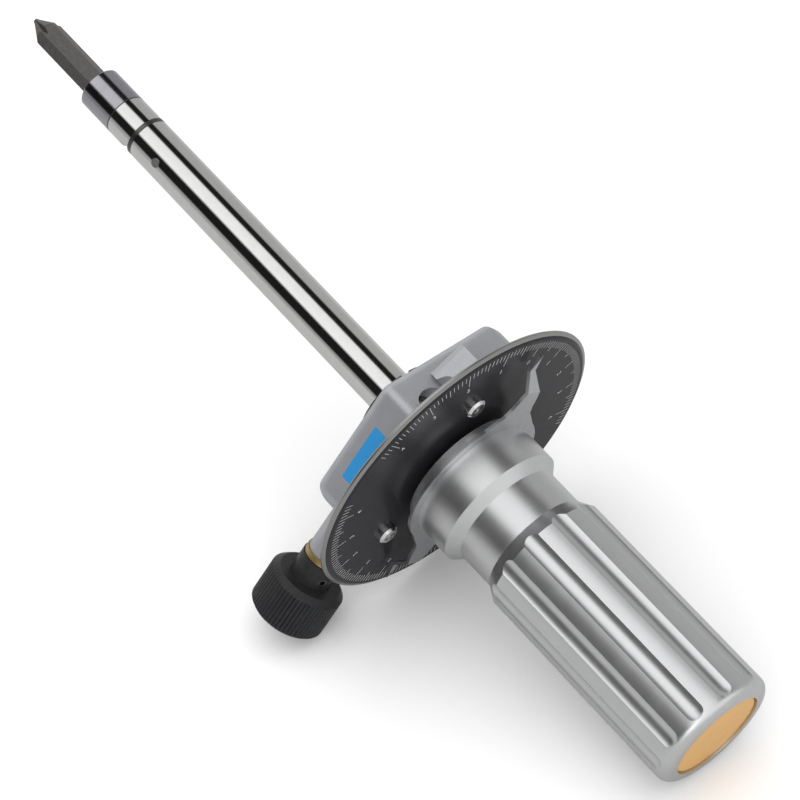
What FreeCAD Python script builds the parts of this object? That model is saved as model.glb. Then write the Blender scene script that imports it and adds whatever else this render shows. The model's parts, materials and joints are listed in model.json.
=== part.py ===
"""Dial torque screwdriver, lying at rest on its dial rim, its grip end and its zero knob.

Every piece is modelled about the tool's own axis: z runs from the bit (negative) to the grip (positive) and
is zero where the dial meets the casting, and x points along the spindle of the zero knob. A last turn and
shift, worked out from the same sizes, lays the whole tool on the ground with +Z up and the bit tip at the
origin. Lengths are in millimetres.
"""
import FreeCAD, Part
import math
import os
import re

import Sketcher
from FreeCAD import Placement, Rotation, Vector

# Driving dimensions.
SIZES = [
    ("seat_gap", 0.02, "radial gap of pieces that are fixed together"),
    ("run_gap", 0.05, "radial gap of pieces that turn or slide"),
    ("face_gap", 0.1, "gap between end faces that pass each other"),
    ("bit_flats", 6.35, "across the flats of the hexagonal bit"),
    ("bit_projection", 26.58, "bit in front of its socket"),
    ("socket_depth", 18.4, "bit inside its socket"),
    ("bit_cone_length", 5.8, "tapered point of the bit"),
    ("bit_cone_radius", 3.1, "where the point's taper turns steeper"),
    ("bit_nose_radius", 0.8, "blunt end of the point"),
    ("bit_flute_length", 8.5, "length of the four flutes of the cross point"),
    ("bit_flute_width", 2.0, "width of one flute"),
    ("socket_nose_radius", 4.55, "nose of the socket under the sleeve"),
    ("socket_nose_length", 10.6, "length of that nose"),
    ("socket_radius", 5.7, "collar behind the sleeve, and the sleeve"),
    ("socket_collar_length", 8.0, "length of that collar"),
    ("socket_shank_length", 13.8, "shank behind the collar, inside the tube"),
    ("socket_notch_depth", 0.6, "flat filed on the collar"),
    ("socket_notch_length", 3.0, "length of that flat"),
    ("clip_setback", 0.4, "clip behind the front of the nose"),
    ("clip_width", 0.6, "thickness of the clip"),
    ("clip_groove", 0.35, "depth of its groove"),
    ("clip_rise", 0.4, "clip above the nose"),
    ("magnet_radius", 2.5, "magnet behind the bit"),
    ("magnet_length", 4.0, "thickness of the magnet"),
    ("ball_radius", 0.68, "detent ball that grips the bit"),
    ("ball_setback", 6.2, "ball behind the front of the nose"),
    ("sleeve_lip", 0.3, "front of the sleeve before the nose"),
    ("sleeve_chamfer", 0.4, "front edge of the sleeve"),
    ("sleeve_travel", 3.0, "stroke of the sleeve"),
    ("ring_width", 1.2, "width of the retaining ring"),
    ("tube_radius", 5.75, "outside of the shaft tube"),
    ("tube_bore", 3.5, "inside radius of the shaft tube"),
    ("shaft_length", 95.1, "tube in front of its journal"),
    ("journal_radius", 5.0, "journal of the tube in the casting and the handle"),
    ("journal_tail", 1.0, "journal behind the circlip"),
    ("pin_radius", 1.2, "cross pin of the bit socket"),
    ("pin_setback", 8.5, "cross pin behind the front of the tube"),
    ("bar_radius", 1.3, "thin part of the torsion bar"),
    ("bar_head_radius", 2.5, "heads of the torsion bar"),
    ("bar_head_length", 9.0, "length of each head"),
    ("bar_shoulder", 3.0, "cone between head and thin part"),
    ("bar_seat_depth", 8.0, "torsion bar inside the socket's shank"),
    ("bar_inset", 1.0, "rear end of the bar inside its anchor"),
    ("circlip_play", 0.5, "circlip behind the handle's bush"),
    ("circlip_width", 0.9, "thickness of the circlip"),
    ("circlip_radius", 6.2, "outside of the circlip"),
    ("circlip_groove", 0.6, "depth of its groove"),
    ("housing_radius", 28.2, "round body of the casting"),
    ("housing_rear_reach", 1.3, "rear face of the casting, under the dial"),
    ("housing_length", 16.5, "rear face to front face of the casting"),
    ("housing_round", 3.0, "rounded front edge and corners"),
    ("front_wall", 5.6, "wall between the front face and the gear room"),
    ("room_play", 1.1, "gear room round the wheel"),
    ("nose_radius", 8.6, "threaded front boss round the shaft"),
    ("nose_length", 2.6, "length of that boss"),
    ("flat_wall", 2.35, "wall between the worm's bore and the flats"),
    ("pad_side", 9.7, "side wall of the pad, from the middle of the tool"),
    ("pad_setback", 4.5, "front edge of the pad behind the front face"),
    ("pad_bevel", 1.8, "sloped front of the pad"),
    ("lug_radius", 2.7, "lug under the dial for the screw beside the pad"),
    ("lug_length", 4.6, "length of that lug"),
    ("window_radius", 3.0, "open end of the worm bore"),
    ("front_ring_wall", 2.55, "wall of the ring nut on the front boss"),
    ("front_ring_length", 3.4, "length of the ring nut"),
    ("front_ring_slot", 2.4, "width of its wrench slots"),
    ("front_ring_slot_depth", 1.5, "depth of its wrench slots"),
    ("dial_radius", 40.0, "outside of the dial"),
    ("dial_bevel", 1.5, "width of the bare bevel round the face"),
    ("dial_rise", 0.3, "face above the dial plane"),
    ("dial_edge_drop", 0.8, "bevel from the face down to the rim"),
    ("dial_bore", 8.2, "hole in the middle of the dial"),
    ("dial_under_bevel", 0.4, "bevel under the rim"),
    ("screw_circle", 23.0, "circle of the three dial screws"),
    ("screw_radius", 1.2, "thread of a dial screw"),
    ("screw_length", 4.2, "shank under the head"),
    ("screw_head_radius", 2.6, "head of a dial screw"),
    ("screw_head_height", 1.6, "height of that head"),
    ("screw_head_round", 0.6, "bevelled edge of that head"),
    ("recess_width", 0.7, "width of the cross recess"),
    ("recess_length", 2.8, "length of the cross recess"),
    ("recess_depth", 0.9, "depth of the cross recess"),
    ("bush_radius", 7.0, "outside of the front bush"),
    ("bush_rim", 0.9, "front bush before its boss"),
    ("tooth_module", 0.7, "tooth size of the worm gear"),
    ("wheel_teeth", 32, "teeth of the worm wheel"),
    ("wheel_half_width", 2.2, "half the width of the toothed rim"),
    ("wheel_hub_radius", 8.5, "hub of the wheel"),
    ("wheel_hub_length", 3.05, "hub behind the toothed rim"),
    ("tooth_play", 0.05, "play of a tooth on each side"),
    ("wheel_pin_radius", 0.8, "pin that locks the wheel to the journal"),
    ("thrust_radius", 8.0, "thrust washer in front of the wheel"),
    ("thrust_width", 2.0, "thickness of that washer"),
    ("spacer_wall", 1.45, "wall of the spacer behind the wheel"),
    ("worm_radius", 2.8, "pitch radius of the worm"),
    ("worm_half_length", 6.2, "half the threaded length"),
    ("worm_play", 0.15, "bore round the worm"),
    ("spindle_radius", 2.4, "plain journals of the worm shaft"),
    ("end_bush_length", 6.65, "inner bush of the worm shaft"),
    ("tail_play", 0.6, "end of the worm shaft before the bore's shoulder"),
    ("boss_wall", 1.0, "wall of the tube that carries the knob"),
    ("boss_end", 34.05, "outer end of that tube"),
    ("brass_radius", 5.0, "flange of the brass bush"),
    ("brass_flange", 1.5, "thickness of that flange"),
    ("brass_length", 8.0, "part of the brass bush inside the tube"),
    ("collar_radius", 5.26, "collar of the knob"),
    ("collar_length", 6.2, "length of that collar"),
    ("knob_length", 12.1, "head of the knob"),
    ("knob_radius", 9.6, "outside of the knob"),
    ("knob_chamfer", 1.6, "near edge of the knob"),
    ("knob_end_chamfer", 0.8, "outer edge of the knob"),
    ("knob_face", 4.2, "outer face of the knob over its spindle"),
    ("knurl_count", 60, "grooves round the knob"),
    ("knurl_depth", 0.3, "depth of one groove"),
    ("knurl_half_width", 0.4, "half the width of one groove"),
    ("grub_radius", 1.2, "set screw of the knob"),
    ("grub_length", 2.6, "length of the set screw"),
    ("grub_socket", 1.3, "across the flats of its hexagonal socket"),
    ("grub_socket_depth", 1.1, "depth of that socket"),
    ("pointer_sheet", 0.8, "thickness of the pointer plate"),
    ("pointer_hub_radius", 18.9, "round middle of the pointer plate"),
    ("pointer_bend", 27.0, "upper bend of each arm"),
    ("pointer_foot", 30.8, "lower bend of each arm"),
    ("pointer_tip", 35.5, "tip of each arm"),
    ("pointer_play", 1.3, "tips above the dial"),
    ("hub_ring_radius", 16.0, "ring under the pointer plate"),
    ("hub_ring_length", 2.7, "thickness of that ring"),
    ("hub_ring_lip", 0.3, "ring before the front of the handle"),
    ("spigot_radius", 9.0, "spigot of the handle inside the ring"),
    ("handle_play", 2.3, "front of the handle above the dial"),
    ("collar_ring_radius", 16.5, "front collar of the handle"),
    ("collar_ring_length", 9.5, "length of that collar"),
    ("collar_taper", 2.5, "cone behind the collar"),
    ("neck_radius", 13.95, "neck of the handle"),
    ("neck_length", 10.0, "length of the neck"),
    ("grip_taper", 3.7, "cone in front of the grip"),
    ("grip_radius", 15.97, "outside of the grip"),
    ("grip_length", 57.5, "length of the grip"),
    ("grip_round", 3.0, "rounded end edge"),
    ("flute_count", 12, "flutes round the grip"),
    ("flute_radius", 4.0, "ball cutter of the flutes"),
    ("flute_depth", 0.75, "depth of a flute"),
    ("flute_margin", 4.0, "last stop of the cutter before the end face"),
    ("handle_bush_radius", 7.5, "outside of the handle bush"),
    ("handle_bush_length", 9.0, "length of the handle bush"),
    ("bush_setback", 0.4, "bush behind the front of the handle"),
    ("room_tail", 1.6, "room behind the journal"),
    ("handle_bore", 4.0, "long bore of the handle"),
    ("anchor_radius", 6.2, "bore for the anchor of the torsion bar"),
    ("anchor_length", 10.0, "length of the anchor"),
    ("anchor_screw_radius", 1.0, "screw that clamps the bar in the anchor"),
    ("nut_length", 2.2, "ring nut behind the anchor"),
    ("nut_play", 0.3, "ring nut before the floor of the disc's bore"),
    ("nut_slot", 1.6, "width of its wrench slot"),
    ("disc_radius", 11.9, "shallow bore for the end disc"),
    ("disc_bore_depth", 2.5, "depth of that bore"),
    ("disc_thickness", 1.9, "thickness of the end disc"),
    ("disc_crown", 0.4, "bevelled edge of the end disc"),
]
SIZE = {name: float(value) for name, value, note in SIZES}

# Places and sizes that follow from the driving dimensions. A name that ends in _reach is a distance from
# the dial plane towards the bit, and one that ends in _start or _end is a distance towards the grip, or
# along the knob's spindle.
PLACES = {
    "worm_distance": "0.5*wheel_teeth*tooth_module + worm_radius",
    "worm_bore": "worm_radius + tooth_module + worm_play",
    "boss_radius": "worm_bore + boss_wall",
    "flat_distance": "worm_distance + worm_bore + flat_wall",
    "cavity_radius": "0.5*wheel_teeth*tooth_module + tooth_module + room_play",
    "housing_front_reach": "housing_rear_reach + housing_length",
    "nose_reach": "housing_front_reach + nose_length",
    "front_ring_reach": "housing_front_reach + front_ring_length",
    "front_ring_radius": "nose_radius + run_gap + front_ring_wall",
    "journal_reach": "nose_reach + bush_rim + face_gap",
    "cavity_reach": "housing_front_reach - front_wall",
    "worm_reach": "cavity_reach - run_gap - thrust_width - face_gap - wheel_half_width",
    "wheel_hub_reach": "worm_reach - wheel_half_width - wheel_hub_length",
    "wheel_pin_reach": "wheel_hub_reach + 0.5*wheel_hub_length",
    "pad_reach": "housing_front_reach - pad_setback",
    "tube_reach": "journal_reach + shaft_length",
    "collar_rear_reach": "tube_reach + face_gap + ring_width + seat_gap",
    "socket_collar_reach": "collar_rear_reach + socket_collar_length",
    "shank_reach": "collar_rear_reach - socket_shank_length",
    "socket_reach": "socket_collar_reach + socket_nose_length",
    "bit_reach": "socket_reach + bit_projection",
    "bit_length": "bit_projection + socket_depth",
    "clip_reach": "socket_reach - clip_setback",
    "ball_reach": "socket_reach - ball_setback",
    "pin_reach": "tube_reach - pin_setback",
    "bar_reach": "shank_reach + bar_seat_depth",
    "sleeve_mouth_radius": "socket_nose_radius + clip_rise + run_gap",
    "sleeve_radius": "socket_radius",
    "dial_face_radius": "dial_radius - dial_bevel",
    "spigot_start": "dial_rise + handle_play",
    "hub_ring_start": "spigot_start - hub_ring_lip",
    "pointer_start": "hub_ring_start + hub_ring_length",
    "pointer_low": "dial_rise + pointer_play",
    "collar_ring_end": "pointer_start + pointer_sheet + collar_ring_length",
    "neck_start": "collar_ring_end + collar_taper",
    "neck_end": "neck_start + neck_length",
    "grip_start": "neck_end + grip_taper",
    "grip_end": "grip_start + grip_length",
    "flute_end": "grip_end - flute_margin",
    "handle_bush_start": "spigot_start + bush_setback",
    "handle_bush_end": "handle_bush_start + handle_bush_length",
    "circlip_start": "handle_bush_end + circlip_play",
    "journal_end": "circlip_start + circlip_width + journal_tail",
    "handle_room_end": "journal_end + room_tail",
    "disc_bore_start": "grip_end - disc_bore_depth",
    "anchor_end": "disc_bore_start - nut_length - nut_play",
    "anchor_start": "anchor_end - anchor_length",
    "bar_end": "anchor_end - bar_inset",
    "collar_start": "boss_end + run_gap + brass_flange + face_gap",
    "knob_start": "collar_start + collar_length",
    "knob_end": "knob_start + knob_length",
    "spindle_end": "knob_end - knob_face",
    "grub_place": "collar_start + 0.6*collar_length",
    "worm_bore_tail": "worm_half_length + face_gap + end_bush_length + run_gap",
    "spindle_tail": "worm_bore_tail - tail_play",
}

SCREW_ANGLES = (90.0, -30.0, -150.0)
SHOULDER_FACING = -150.0
PAD_FACING = -120.0
HEX_TURN = 15.0
NOTCH_FACING = -30.0
GRUB_FACING = 116.0
HALF_TOOTH = "0.785398*tooth_module"

doc = FreeCAD.newDocument("torque_screwdriver")
sheet = doc.addObject("Spreadsheet::Sheet", "sizes")
for row, (name, value, note) in enumerate(SIZES, start=1):
    sheet.set(f"A{row}", name)
    sheet.set(f"B{row}", str(value))
    sheet.set(f"C{row}", note)
    sheet.setAlias(f"B{row}", name)
doc.recompute()

parts = []


# ---------------------------------------------------------------- small helpers

def bound(text):
    """A sum of sizes and places as an expression on the sheet's cells."""
    def cell(match):
        name = match.group(0)
        return f"({bound(PLACES[name])})" if name in PLACES else "sizes." + name
    return re.sub(r"[a-z_]{2,}", cell, text)


def product(text):
    """The value of a size, a place, a number, or their product."""
    value = 1.0
    for factor in text.split("*"):
        if factor in PLACES:
            value *= amount(PLACES[factor])
        else:
            value *= SIZE[factor] if factor in SIZE else float(factor)
    return value


def amount(text):
    """The value of a sum of sizes, such as 'knob_end - 2*knob_chamfer'."""
    total = 0.0
    sign = 1.0
    for word in text.replace("+", " + ").replace("-", " - ").split():
        if word in "+-":
            sign = -sign if word == "-" else sign
        else:
            total += sign * product(word)
            sign = 1.0
    return total


def make_body(label):
    """A PartDesign body with the piece's name."""
    body = doc.addObject("PartDesign::Body", label)
    body.Label = label
    return body


def keep(piece, label, place=None):
    """Adds a finished piece, with its place on the tool, to the list that is written out."""
    piece.Label = label
    parts.append((piece, place or Placement()))
    return piece


def origin_plane(body, role):
    """One of the body's own planes or axes."""
    return next(item for item in body.Origin.OriginFeatures if item.Role == role)


def sketch_on(body, role, lift="0", turn=0.0):
    """An empty sketch on one of the body's own planes, lifted by a sum of sizes along its normal.

    On the XY plane the turn is about z. On the XZ plane it is about z as well, so that the sketch's
    x axis points away from z in the direction of the turn.
    """
    sketch = body.newObject("Sketcher::SketchObject", body.Name + "_sketch")
    sketch.AttachmentSupport = [(origin_plane(body, role), "")]
    sketch.MapMode = "FlatFace"
    pivot = Vector(0, 1, 0) if role == "XZ_Plane" else Vector(0, 0, 1)
    sketch.AttachmentOffset = Placement(Vector(0, 0, amount(lift)), Rotation(pivot, turn))
    if lift != "0":
        sketch.setExpression("AttachmentOffset.Base.z", bound(lift))
    return sketch


def tie(sketch, edge, point, across, along):
    """Binds a point of an edge to two sums of sizes, or to an axis where one is zero."""
    for kind, text, axis in (("DistanceX", across, -2), ("DistanceY", along, -1)):
        if text == "0":
            sketch.addConstraint(Sketcher.Constraint("PointOnObject", edge, point, axis))
        else:
            index = sketch.addConstraint(Sketcher.Constraint(kind, -1, 1, edge, point, amount(text)))
            sketch.setExpression(f"Constraints[{index}]", bound(text))


def polygon(sketch, points):
    """A closed outline through points given as pairs of sums of sizes."""
    first = sketch.GeometryCount
    corners = [Vector(amount(across), amount(along), 0) for across, along in points]
    count = len(corners)
    for i in range(count):
        sketch.addGeometry(Part.LineSegment(corners[i], corners[(i + 1) % count]), False)
    for i in range(count):
        following = first + (i + 1) % count
        sketch.addConstraint(Sketcher.Constraint("Coincident", first + i, 2, following, 1))
    for i, (across, along) in enumerate(points):
        tie(sketch, first + i, 1, across, along)
    return sketch


def circle(sketch, across, along, radius):
    """A circle whose centre and radius are sums of sizes."""
    centre = Vector(amount(across), amount(along), 0)
    edge = sketch.addGeometry(Part.Circle(centre, Vector(0, 0, 1), amount(radius)), False)
    tie(sketch, edge, 3, across, along)
    index = sketch.addConstraint(Sketcher.Constraint("Radius", edge, amount(radius)))
    sketch.setExpression(f"Constraints[{index}]", bound(radius))
    return sketch


def hexagon(sketch, flats):
    """A regular hexagon round the sketch's origin, with a corner on its x axis."""
    radius = amount(flats) / math.sqrt(3)
    angles = [math.radians(60 * i) for i in range(6)]
    corners = [Vector(radius * math.cos(angle), radius * math.sin(angle), 0) for angle in angles]
    for i in range(6):
        sketch.addGeometry(Part.LineSegment(corners[i], corners[(i + 1) % 6]), False)
    for i in range(6):
        sketch.addConstraint(Sketcher.Constraint("Coincident", i, 2, (i + 1) % 6, 1))
    outer = sketch.addGeometry(Part.Circle(Vector(), Vector(0, 0, 1), radius), True)
    sketch.addConstraint(Sketcher.Constraint("Coincident", outer, 3, -1, 1))
    for i in range(6):
        sketch.addConstraint(Sketcher.Constraint("PointOnObject", i, 1, outer))
    for i in range(1, 6):
        sketch.addConstraint(Sketcher.Constraint("Equal", 0, i))
    sketch.addConstraint(Sketcher.Constraint("PointOnObject", 0, 1, -1))
    index = sketch.addConstraint(Sketcher.Constraint("Radius", outer, radius))
    sketch.setExpression(f"Constraints[{index}]", f"({bound(flats)}) / sqrt(3)")
    return sketch


def spin(body, sketch, kind="Revolution", name="turning", axis="V_Axis"):
    """A full turn of a sketch, added to the body or, as a Groove, cut from it."""
    feature = body.newObject("PartDesign::" + kind, name)
    feature.Profile = sketch
    feature.ReferenceAxis = (sketch, [axis])
    feature.Angle = 360
    sketch.Visibility = False
    doc.recompute()
    return feature


def revolve(body, points, name="turning"):
    """A full turn of an outline of (radius, height) points about the body's z axis."""
    return spin(body, polygon(sketch_on(body, "XZ_Plane"), points), name=name)


def turned(label, points, place=None):
    """A body turned from one outline and kept."""
    body = make_body(label)
    revolve(body, points)
    return keep(body, label, place)


def push(body, sketch, length, kind="Pocket", name="cut", midplane=False):
    """A pocket against the sketch's normal, or a pad along it."""
    feature = body.newObject("PartDesign::" + kind, name)
    feature.Profile = sketch
    feature.Midplane = midplane
    if length:
        feature.setExpression("Length", bound(length))
    else:
        feature.Type = "ThroughAll"
    sketch.Visibility = False
    doc.recompute()
    return feature


def bore(body, top, depth, radius, name="bore"):
    """A round hole on the z axis, from a height down."""
    return push(body, circle(sketch_on(body, "XY_Plane", top), "0", "0", radius), depth, name=name)


def cross_hole(body, height, radius, name="cross_hole"):
    """A hole along y right through the body."""
    return push(body, circle(sketch_on(body, "XZ_Plane"), "0", height, radius), "", name=name,
                midplane=True)


def smooth(body, feature, test, size, kind="Fillet", name="edge"):
    """A fillet or a chamfer on the edges of the last feature that pass a test."""
    names = [f"Edge{i}" for i, edge in enumerate(feature.Shape.Edges, start=1) if test(edge)]
    rounding = body.newObject("PartDesign::" + kind, name)
    rounding.Base = (feature, names)
    rounding.setExpression("Radius" if kind == "Fillet" else "Size", bound(size))
    doc.recompute()
    return rounding


def at_height(height, beyond="0"):
    """A test for edges that lie in one level plane, further from the z axis than a radius."""
    def test(edge):
        box = edge.BoundBox
        middle = edge.valueAt((edge.FirstParameter + edge.LastParameter) / 2)
        flat = max(abs(box.ZMin - amount(height)), abs(box.ZMax - amount(height))) < 1e-3
        return flat and math.hypot(middle.x, middle.y) > amount(beyond)
    return test


def repeat(body, features, count, name="pattern"):
    """Copies of features round the body's z axis."""
    copies = body.newObject("PartDesign::PolarPattern", name)
    copies.Originals = features
    copies.Axis = (origin_plane(body, "Z_Axis"), [""])
    copies.Angle = 360
    copies.setExpression("Occurrences", bound(count))
    body.Tip = copies
    doc.recompute()
    return copies


def rod(label, role, across, along, radius, length, place=None):
    """A plain round pin, drawn on a plane and pushed both ways from it."""
    body = make_body(label)
    push(body, circle(sketch_on(body, role), across, along, radius), length, "Pad", "rod", True)
    return keep(body, label, place)


def polar(radius, angle, height=0.0):
    """A point given by its distance and direction from the z axis."""
    turn = math.radians(angle)
    return Vector(radius * math.cos(turn), radius * math.sin(turn), height)


# ---------------------------------------------------------------- bit, socket and shaft

def make_bit():
    """The hexagonal bit with its cross point."""
    body = make_body("hex_bit")
    push(body, hexagon(sketch_on(body, "XY_Plane", "-bit_reach", HEX_TURN), "bit_flats"),
         "bit_length", "Pad", "blank")
    point = sketch_on(body, "XZ_Plane")
    polygon(point, [("0", "-bit_reach - 1"), ("0", "-bit_reach"),
                    ("bit_nose_radius", "-bit_reach + 0.1*bit_cone_length"),
                    ("bit_cone_radius", "-bit_reach + 0.8*bit_cone_length"),
                    ("bit_flats", "-bit_reach + bit_cone_length + bit_cone_radius"),
                    ("bit_flats", "-bit_reach - 1")])
    spin(body, point, "Groove", "point")
    flute = sketch_on(body, "XZ_Plane", turn=HEX_TURN)
    polygon(flute, [("bit_nose_radius", "-bit_reach - 1"),
                    ("bit_nose_radius", "-bit_reach + 0.3*bit_flute_length"),
                    ("bit_flats", "-bit_reach + bit_flute_length + bit_cone_radius"),
                    ("bit_flats", "-bit_reach - 1")])
    cut = push(body, flute, "bit_flute_width", name="flute", midplane=True)
    flutes = repeat(body, [cut], "4", "flutes")
    flutes.Occurrences = 4
    keep(body, "hex_bit")


def make_socket():
    """The bit socket: a nose under the sleeve, a collar and a shank that is pinned in the tube."""
    body = make_body("bit_socket")
    groove = "socket_nose_radius - clip_groove"
    shank = "tube_bore - seat_gap"
    collar_rear = "-collar_rear_reach"
    shank_rear = "-shank_reach"
    revolve(body, [("0", "-socket_reach"), ("socket_nose_radius", "-socket_reach"),
                   ("socket_nose_radius", "-clip_reach"), (groove, "-clip_reach"),
                   (groove, "-clip_reach + clip_width"),
                   ("socket_nose_radius", "-clip_reach + clip_width"),
                   ("socket_nose_radius", "-socket_collar_reach"),
                   ("socket_radius", "-socket_collar_reach"), ("socket_radius", collar_rear),
                   (shank, collar_rear), (shank, shank_rear), ("0", shank_rear)])
    bit_rear = "-bit_reach + bit_length + seat_gap"
    push(body, hexagon(sketch_on(body, "XY_Plane", bit_rear, HEX_TURN), "bit_flats + 2*run_gap"),
         "bit_length", name="hexagon_bore")
    bore(body, bit_rear + " + magnet_length + seat_gap", "magnet_length + 2*seat_gap",
         "magnet_radius + seat_gap", "magnet_seat")
    bore(body, shank_rear, "bar_seat_depth + seat_gap", "bar_head_radius + seat_gap", "bar_seat")
    cross_hole(body, "-pin_reach", "pin_radius + seat_gap", "pin_hole")
    notch = sketch_on(body, "XZ_Plane", turn=NOTCH_FACING)
    flat = "socket_radius - socket_notch_depth"
    polygon(notch, [(flat, collar_rear), ("2*socket_radius", collar_rear),
                    ("2*socket_radius", collar_rear + " - socket_notch_length"),
                    (flat, collar_rear + " - socket_notch_length")])
    push(body, notch, "", name="filed_flat", midplane=True)
    hole = circle(sketch_on(body, "XZ_Plane", turn=HEX_TURN), "0", "-ball_reach",
                  "ball_radius + seat_gap")
    push(body, hole, "2*socket_nose_radius", name="ball_hole")
    keep(body, "bit_socket")


def make_front_end():
    """The bit holder: bit, socket, magnet, ball, clip, sliding sleeve and retaining ring."""
    make_bit()
    make_socket()
    bit_rear = "-bit_reach + bit_length + seat_gap"
    turned("socket_magnet", [("0", bit_rear), ("magnet_radius", bit_rear),
                             ("magnet_radius", bit_rear + " + magnet_length"),
                             ("0", bit_rear + " + magnet_length")])
    ball = doc.addObject("Part::Sphere", "socket_ball")
    ball.setExpression("Radius", bound("ball_radius"))
    ball_centre = amount("0.5*bit_flats + run_gap + ball_radius")
    keep(ball, "socket_ball", Placement(polar(ball_centre, HEX_TURN + 90, -amount("ball_reach")),
                                        Rotation()))
    ring_inner = "socket_nose_radius - clip_groove + seat_gap"
    ring_outer = "sleeve_mouth_radius - run_gap"
    turned("socket_clip", [(ring_inner, "-clip_reach + seat_gap"),
                           (ring_outer, "-clip_reach + seat_gap"),
                           (ring_outer, "-clip_reach + clip_width - seat_gap"),
                           (ring_inner, "-clip_reach + clip_width - seat_gap")])
    sleeve = make_body("holder_sleeve")
    inner = "socket_nose_radius + run_gap"
    front = "-socket_reach - sleeve_lip"
    rear = "-socket_collar_reach - seat_gap"
    stop = "-clip_reach + clip_width + sleeve_travel + face_gap"
    feature = revolve(sleeve, [("sleeve_mouth_radius", front), ("sleeve_radius", front),
                               ("sleeve_radius", rear), (inner, rear), (inner, stop),
                               ("sleeve_mouth_radius", stop)])
    smooth(sleeve, feature, at_height(front, "sleeve_mouth_radius + run_gap"), "sleeve_chamfer",
           "Chamfer", "front_chamfer")
    keep(sleeve, "holder_sleeve")
    ring_front = "-collar_rear_reach + seat_gap"
    turned("retaining_ring", [("tube_bore", ring_front), ("tube_radius", ring_front),
                              ("tube_radius", ring_front + " + ring_width"),
                              ("tube_bore", ring_front + " + ring_width")])


def make_shaft():
    """The chromed tube with its journal, its cross pin and the torsion bar inside it."""
    body = make_body("shaft_tube")
    front = "-tube_reach"
    groove = "journal_radius - circlip_groove"
    revolve(body, [("tube_bore", front), ("tube_radius", front), ("tube_radius", "-journal_reach"),
                   ("journal_radius", "-journal_reach"), ("journal_radius", "circlip_start"),
                   (groove, "circlip_start"), (groove, "circlip_start + circlip_width"),
                   ("journal_radius", "circlip_start + circlip_width"),
                   ("journal_radius", "journal_end"), ("tube_bore", "journal_end")])
    cross_hole(body, "-pin_reach", "pin_radius + seat_gap", "pin_hole")
    hole = circle(sketch_on(body, "YZ_Plane"), "0", "-wheel_pin_reach", "wheel_pin_radius + seat_gap")
    drill = push(body, hole, "2*journal_radius", name="wheel_pin_hole")
    drill.Reversed = True
    doc.recompute()
    keep(body, "shaft_tube")
    rod("cross_pin", "XZ_Plane", "0", "-pin_reach", "pin_radius", "2*tube_radius - 2*seat_gap")
    bar = make_body("torsion_bar")
    front = "-bar_reach + bar_head_length"
    rear = "bar_end - bar_head_length"
    revolve(bar, [("0", "-bar_reach"), ("bar_head_radius", "-bar_reach"), ("bar_head_radius", front),
                  ("bar_radius", front + " + bar_shoulder"), ("bar_radius", rear + " - bar_shoulder"),
                  ("bar_head_radius", rear), ("bar_head_radius", "bar_end"), ("0", "bar_end")])
    cross_hole(bar, "-pin_reach", "pin_radius + seat_gap", "pin_hole")
    keep(bar, "torsion_bar")
    clip_inner = groove + " + seat_gap"
    turned("shaft_circlip", [(clip_inner, "circlip_start + seat_gap"),
                             ("circlip_radius", "circlip_start + seat_gap"),
                             ("circlip_radius", "circlip_start + circlip_width - seat_gap"),
                             (clip_inner, "circlip_start + circlip_width - seat_gap")])


# ---------------------------------------------------------------- worm gear

def make_wheel():
    """The worm wheel on the journal, with its pin, thrust washer and spacer."""
    body = make_body("worm_wheel")
    inner = "journal_radius + seat_gap"
    tip = "0.5*wheel_teeth*tooth_module + tooth_module"
    front = "-worm_reach - wheel_half_width"
    rear = "-worm_reach + wheel_half_width"
    revolve(body, [(inner, front), (tip, front), (tip, rear), ("wheel_hub_radius", rear),
                   ("wheel_hub_radius", "-wheel_hub_reach"), (inner, "-wheel_hub_reach")])
    lean = math.degrees(SIZE["wheel_half_width"] / SIZE["worm_radius"] / SIZE["wheel_teeth"])
    pitch = "0.5*wheel_teeth*tooth_module"
    gap = [(pitch + " - 1.35*tooth_module", "0.5*tooth_module"),
           (pitch, HALF_TOOTH + " + tooth_play"),
           (pitch + " + 0.5*tooth_module", "1.02*tooth_module + tooth_play"),
           (pitch + " + 1.6*tooth_module", "1.58*tooth_module + tooth_play")]
    outline = gap + [(across, "-" + along.replace("+", "-")) for across, along in reversed(gap)]
    ends = []
    for height, turn in ((rear, lean), (front, -lean)):
        ends.append(polygon(sketch_on(body, "XY_Plane", height, turn), outline))
    cut = body.newObject("PartDesign::SubtractiveLoft", "tooth_gap")
    cut.Profile = ends[0]
    cut.Sections = [ends[1]]
    cut.Ruled = True
    doc.recompute()
    repeat(body, [cut], "wheel_teeth", "teeth")
    hole = circle(sketch_on(body, "YZ_Plane"), "0", "-wheel_pin_reach", "wheel_pin_radius + seat_gap")
    drill = push(body, hole, "2*wheel_hub_radius", name="pin_hole")
    drill.Reversed = True
    doc.recompute()
    keep(body, "worm_wheel")
    pin = make_body("wheel_pin")
    lift = "tube_bore + face_gap"
    disc = circle(sketch_on(pin, "YZ_Plane", lift), "0", "-wheel_pin_reach", "wheel_pin_radius")
    push(pin, disc, "wheel_hub_radius - tube_bore - 2*face_gap", "Pad", "rod")
    keep(pin, "wheel_pin")
    loose = "journal_radius + run_gap"
    turned("thrust_washer", [(loose, "-cavity_reach + run_gap"),
                             ("thrust_radius", "-cavity_reach + run_gap"),
                             ("thrust_radius", front + " - face_gap"),
                             (loose, front + " - face_gap")])
    turned("spacer_tube", [(loose, "-wheel_hub_reach + run_gap"),
                           (loose + " + spacer_wall", "-wheel_hub_reach + run_gap"),
                           (loose + " + spacer_wall", "handle_bush_start - run_gap"),
                           (loose, "handle_bush_start - run_gap")])


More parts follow.
